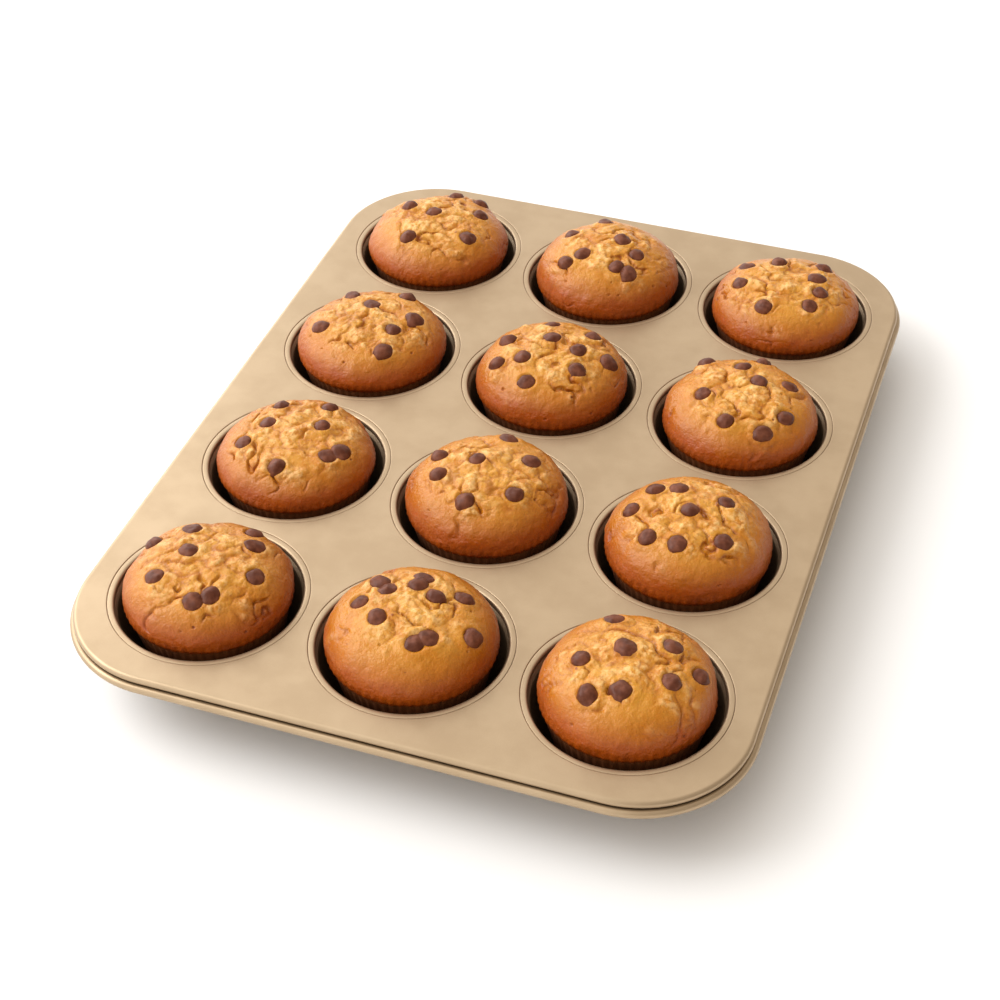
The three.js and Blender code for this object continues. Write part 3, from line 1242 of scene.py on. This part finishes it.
# One drop, about 1 across before it is sized: domed above, shallow below.
def dropShape(tree, given):
    inputs = {"Radius": 1.0, "Subdivisions": chip["subdivisions"]}
    ball = addNode(tree, "GeometryNodeMeshIcoSphere", inputs)
    x, y, z = partsOf(tree, herePoint(tree))
    dome = calc(tree, "POWER", larger(tree, z, 0.0), chip["domePower"])
    dome = multiply(tree, dome, given["Chip Height"])
    under = multiply(tree, smaller(tree, z, 0.0), chip["underside"])
    wide = given["Chip Radius"]
    point = pointAt(tree, multiply(tree, x, wide), multiply(tree, y, wide), add(tree, dome, under))
    return moveTo(tree, ball.outputs["Mesh"], point)


# Which way the crust faces at a spot, a little uneven.
def crustLean(tree, given, here):
    local = vectorCalc(tree, "SUBTRACT", scaled(tree, here, 1 / mm), given["Centre"])
    x, y, z = partsOf(tree, local)
    squareWide = multiply(tree, given["Crown Radius"], given["Crown Radius"])
    squareTall = multiply(tree, given["Dome Height"], given["Dome Height"])
    facing = pointAt(
        tree, divide(tree, x, squareWide), divide(tree, y, squareWide), divide(tree, z, squareTall)
    )
    most = chip["wobble"]
    wobble = randomVector(tree, (-most, -most, 0.0), (most, most, 0.0), given["Seed"])
    level = vectorCalc(tree, "NORMALIZE", facing)
    return vectorCalc(tree, "NORMALIZE", vectorCalc(tree, "ADD", level, wobble))


# The spots dropped on the crown, sunk into it, each keeping the way it leans.
def seatedSpots(tree, given):
    here = herePoint(tree)
    crown = addNode(tree, "GeometryNodeObjectInfo", {"Object": given["Crown"]}, transform_space="ORIGINAL")
    cast = addNode(tree, "GeometryNodeRaycast", {
        "Target Geometry": crown.outputs["Geometry"],
        "Source Position": vectorCalc(tree, "ADD", here, (0, 0, chip["castFrom"])),
        "Ray Direction": (0, 0, -1),
        "Ray Length": chip["castReach"],
    })
    lean = crustLean(tree, given, here)
    sunk = scaled(tree, lean, multiply(tree, given["Sink"], -mm))
    seat = vectorCalc(tree, "ADD", cast.outputs["Hit Position"], sunk)
    points = addNode(tree, "GeometryNodeMeshToPoints", {"Mesh": given["Geometry"], "Position": seat})
    inputs = {"Geometry": points.outputs[0], "Name": "lean", "Value": lean}
    stored = addNode(
        tree, "GeometryNodeStoreNamedAttribute", inputs, data_type="FLOAT_VECTOR", domain="POINT"
    )
    return stored.outputs[0]


# Each drop leans as its spot does and is spun by chance about its own axis.
def dropTurn(tree, given):
    lean = addNode(tree, "GeometryNodeInputNamedAttribute", {"Name": "lean"}, data_type="FLOAT_VECTOR")
    upright = addNode(tree, "FunctionNodeAlignRotationToVector", {"Vector": lean.outputs[0]}, axis="Z")
    spin = randomVector(tree, (0, 0, 0), (0, 0, 2 * math.pi), given["Seed"])
    spinTurn = addNode(tree, "FunctionNodeEulerToRotation", {0: spin})
    inputs = {"Rotation": upright.outputs[0], "Rotate By": spinTurn.outputs[0]}
    return addNode(tree, "FunctionNodeRotateRotation", inputs, rotation_space="LOCAL").outputs[0]


# Domed drops set on the crown below each spot.
def chipTree():
    tree, given = newTree("chocolateChips", {
        "Crown": "Object",
        "Centre": "Vector",
        "Crown Radius": "Float",
        "Dome Height": "Float",
        "Chip Radius": "Float",
        "Chip Height": "Float",
        "Sink": "Float",
        "Seed": "Int",
        "Material": "Material",
    })
    sizes = randomVector(tree, chip["smallest"], chip["largest"], given["Seed"])
    drops = addNode(tree, "GeometryNodeInstanceOnPoints", {
        "Points": seatedSpots(tree, given),
        "Instance": dropShape(tree, given),
        "Rotation": dropTurn(tree, given),
        "Scale": scaled(tree, sizes, mm),
    })
    single = addNode(tree, "GeometryNodeRealizeInstances", {"Geometry": drops.outputs[0]})
    dents = swayAt(tree, herePoint(tree), chip["dents"], 2)
    push = multiply(tree, dents, chip["dentDepth"] * mm)
    normal = addNode(tree, "GeometryNodeInputNormal").outputs[0]
    dented = moveBy(tree, single.outputs[0], scaled(tree, normal, push))
    endTree(tree, dented, given["Material"])
    return tree


crownTree = bakedCrownTree()
dropTree = chipTree()


def makeMuffin(number, place):
    name = placeName(*place)
    x, y = cupCentre(*place)
    height = domeHeight(place)
    spots = [
        ((x + across) * mm, (y + back) * mm, (tin["sheetTop"] + domePoint(across, back, height)) * mm)
        for across, back in chipPlaces[place[0]][place[1]]
    ]
    spotMesh = bpy.data.meshes.new(f"chipSpots_{name}")
    spotMesh.from_pydata(spots, [], [])
    spotPiece = newPiece(f"chipSpots_{name}", spotMesh)
    centre = (x, y, tin["sheetTop"])
    shared = {"Centre": centre, "Crown Radius": muffin["Crown Radius"], "Dome Height": height}
    crown = newPiece(f"bakedMuffin_{name}", bpy.data.meshes.new(f"bakedMuffin_{name}"))
    crownSeed = muffin["firstSeed"] + number * muffin["seedStep"]
    crownValues = {"Chips": spotPiece, "Seed": crownSeed, "Material": crumbFinish}
    runTree(crown, crownTree, {**muffin, **shared, **crownValues})
    makePlain(crown)
    drops = newPiece(f"chocolateChips_{name}", spotMesh.copy())
    dropValues = {"Crown": crown, "Seed": number + chip["firstSeed"], "Material": chocolateFinish}
    runTree(drops, dropTree, {**chip, **shared, **dropValues})
    makePlain(drops)
    bpy.data.objects.remove(spotPiece)
    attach(crown, f"muffin_{name}")
    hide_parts(f"cake_{name}")
    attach(drops, f"muffin_{name}")
    return crown, drops


for number, place in enumerate(places):
    crownPiece, dropPiece = makeMuffin(number, place)
print("muffins:", len(crownPiece.data.polygons), "faces each, chips:", len(dropPiece.data.polygons))


# floor, light and camera

studio = {
    "floorSize": 12.0,
    "floorColour": (0.93, 0.93, 0.93),
    "floorRoughness": 0.9,
    "floorSpecular": 0.1,
    "worldLeft": 1.7,
    "worldRight": 0.5,
    "leftColour": (1.0, 1.0, 1.0),
    "rightColour": (1.0, 0.88, 0.74),
    "keyEnergy": 16.0,
    "keySize": 1.2,
    "keyFrom": (-1.35, -0.35, 1.25),
    "sideEnergy": 9.0,
    "sideSize": 1.3,
    "sideFrom": (-1.35, 0.8, 0.78),
    "aim": (0, 0, 0.03),
}


def makeFloor():
    half = studio["floorSize"] / 2
    corners = [(-half, -half, 0), (half, -half, 0), (half, half, 0), (-half, half, 0)]
    mesh = bpy.data.meshes.new("floor")
    mesh.from_pydata(corners, [], [(0, 1, 2, 3)])
    finish, _, shader = newMaterial("paleFloor", studio["floorColour"], studio["floorRoughness"])
    shader.inputs["Specular IOR Level"].default_value = studio["floorSpecular"]
    newPiece("floor", mesh, finish)


# Even pale room, brighter on the left and warmer on the right.
def makeRoom():
    world = bpy.data.worlds.new("paleRoom")
    world.use_nodes = True
    tree = world.node_tree
    background = tree.nodes["Background"]
    facing = addNode(tree, "ShaderNodeTexCoord").outputs["Generated"]
    rightward = ease(tree, partsOf(tree, facing)[0], -1.0, 1.0)
    tint = blendColours(tree, rightward, studio["leftColour"], studio["rightColour"])
    tree.links.new(tint, background.inputs["Color"])
    glow = ease(tree, rightward, 0.0, 1.0, studio["worldLeft"], studio["worldRight"])
    tree.links.new(glow, background.inputs["Strength"])
    bpy.context.scene.world = world


def softBox(name, place, size, energy):
    light = bpy.data.lights.new(name, "AREA")
    light.shape = "SQUARE"
    light.size = size
    light.energy = energy
    lamp = bpy.data.objects.new(name, light)
    lamp.location = place
    towards = Vector(studio["aim"]) - Vector(place)
    lamp.rotation_euler = towards.to_track_quat("-Z", "Y").to_euler()
    bpy.context.scene.collection.objects.link(lamp)


makeFloor()
makeRoom()
softBox("keyLight", studio["keyFrom"], studio["keySize"], studio["keyEnergy"])
softBox("sideLight", studio["sideFrom"], studio["sideSize"], studio["sideEnergy"])

# angles in radians, lengths in metres, lens in mm
view = {
    "azimuth": 0.345831,
    "elevation": 0.713697,
    "roll": -0.015136,
    "distance": 0.782123,
    "aim": (0.004478, -0.038229, 0.0307),
    "lens": 71.109,
    "sensor": 36,
    "nearest": 0.01,
}


def makeCamera():
    camera = bpy.data.cameras.new("camera")
    camera.lens = view["lens"]
    camera.sensor_width = view["sensor"]
    camera.sensor_fit = "HORIZONTAL"
    camera.clip_start = view["nearest"]
    piece = bpy.data.objects.new("camera", camera)
    right = Vector((math.cos(view["azimuth"]), math.sin(view["azimuth"]), 0))
    back = Vector((
        math.sin(view["azimuth"]) * math.cos(view["elevation"]),
        -math.cos(view["azimuth"]) * math.cos(view["elevation"]),
        math.sin(view["elevation"]),
    ))
    above = back.cross(right)
    rolledRight = right * math.cos(view["roll"]) + above * math.sin(view["roll"])
    rolledUp = above * math.cos(view["roll"]) - right * math.sin(view["roll"])
    turn = Matrix((rolledRight, rolledUp, back)).transposed()
    place = Vector(view["aim"]) + back * view["distance"]
    piece.matrix_world = Matrix.Translation(place) @ turn.to_4x4()
    bpy.context.scene.collection.objects.link(piece)
    bpy.context.scene.camera = piece


makeCamera()
bpy.context.scene.view_settings.view_transform = "Standard"
bpy.context.scene.view_settings.look = "None"
